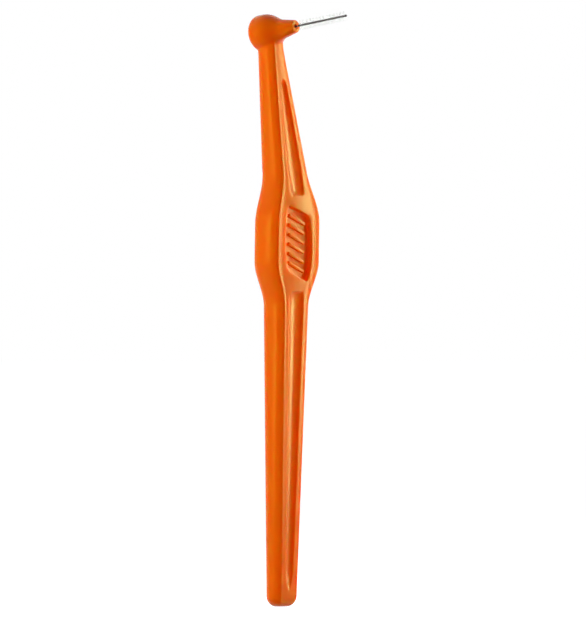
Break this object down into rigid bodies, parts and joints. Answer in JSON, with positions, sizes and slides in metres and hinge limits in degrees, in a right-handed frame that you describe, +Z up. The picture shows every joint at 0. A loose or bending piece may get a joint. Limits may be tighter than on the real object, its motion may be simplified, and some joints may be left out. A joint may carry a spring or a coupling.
{
  "type": "interdental brush",
  "caption": "Slim moulded handle with a swollen grip and a leaning neck; a twisted wire brush leaves the nose of its round head at a right angle.",
  "frame": {"origin": "middle of the flat spot at the lower end of the handle, on the handle's centre line", "axes": "+Z up the handle from its end to its head, +X towards the front face, the way the wire points, +Y across the handle's width"},
  "size_m": [0.0314, 0.0186, 0.1557],
  "materials": {
    "orange_plastic": "semi-gloss moulded polypropylene",
    "coated_wire": "steel wire under a thin dark plastic coat",
    "nylon_filament": "clear white nylon monofilament"
  },
  "bodies": {
    "root": {"handle": "orange_plastic", "core_wire": "coated_wire", "filaments": "nylon_filament"}
  },
  "joints": []
}
